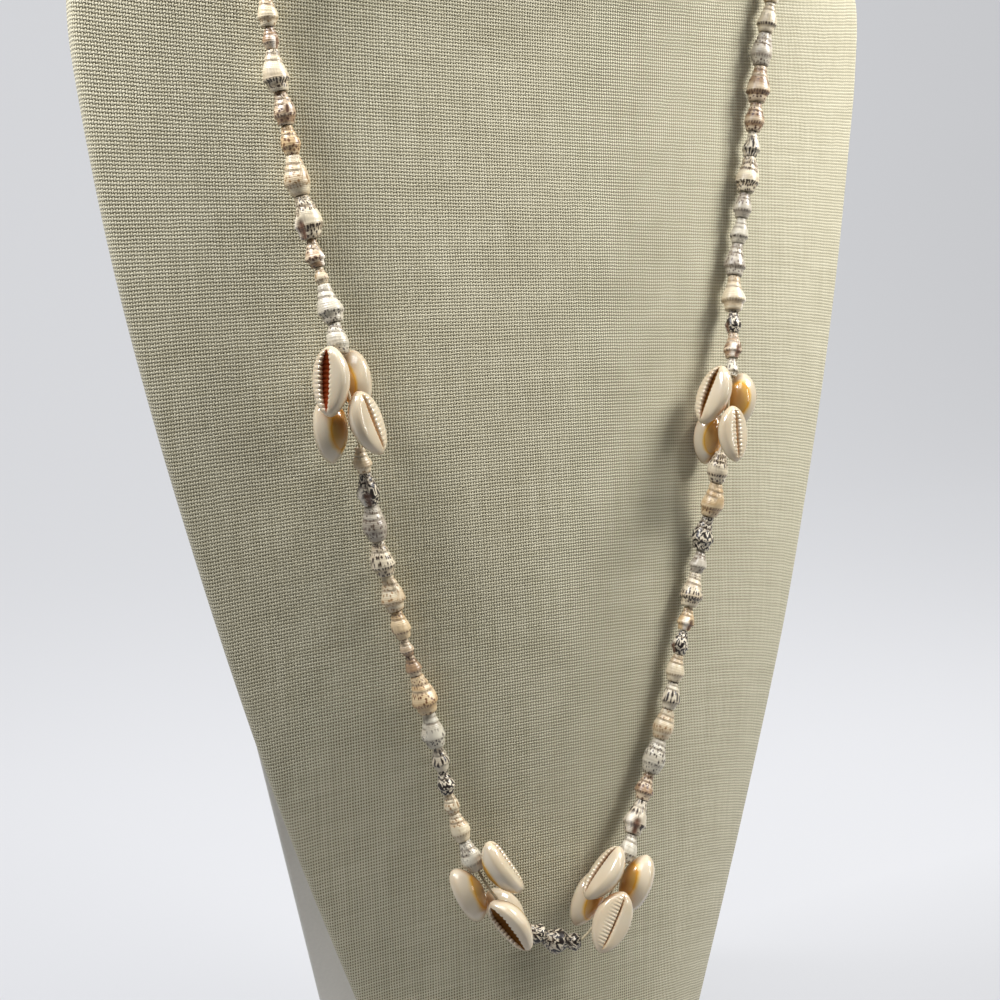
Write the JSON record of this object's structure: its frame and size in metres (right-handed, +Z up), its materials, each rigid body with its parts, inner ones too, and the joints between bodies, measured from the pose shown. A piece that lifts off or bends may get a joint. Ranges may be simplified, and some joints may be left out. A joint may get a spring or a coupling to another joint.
{
  "type": "cowrie shell necklace on a neck bust",
  "caption": "Long strand of small drilled sea shells with four clusters of cowries, worn on a linen-covered neck bust that leans back on a fold-out leg.",
  "frame": {"origin": "on the ground, under the middle of the whole: half way across and half way from the front cowries to the foot of the leg", "axes": "+Z up; front, with the necklace, towards -Y; +X to the right of someone facing the front"},
  "size_m": [0.253, 0.1411, 0.455],
  "materials": {
    "linen": "plain weave, matte",
    "board": "smooth, matte",
    "thread": "twisted, matte",
    "small_shell": "speckled and banded, semi-gloss",
    "cowrie": "glossy"
  },
  "bodies": {
    "root": {"bust": "linen", "back_leg": "board", "thread": "thread", "shells_left": "small_shell", "shells_right": "small_shell", "cowrie_1": "cowrie", "cowrie_2": "cowrie", "cowrie_3": "cowrie", "cowrie_4": "cowrie", "cowrie_5": "cowrie", "cowrie_6": "cowrie", "cowrie_7": "cowrie", "cowrie_8": "cowrie", "cowrie_9": "cowrie", "cowrie_10": "cowrie", "cowrie_11": "cowrie", "cowrie_12": "cowrie", "cowrie_13": "cowrie", "cowrie_14": "cowrie", "cowrie_15": "cowrie", "cowrie_16": "cowrie"}
  },
  "joints": []
}
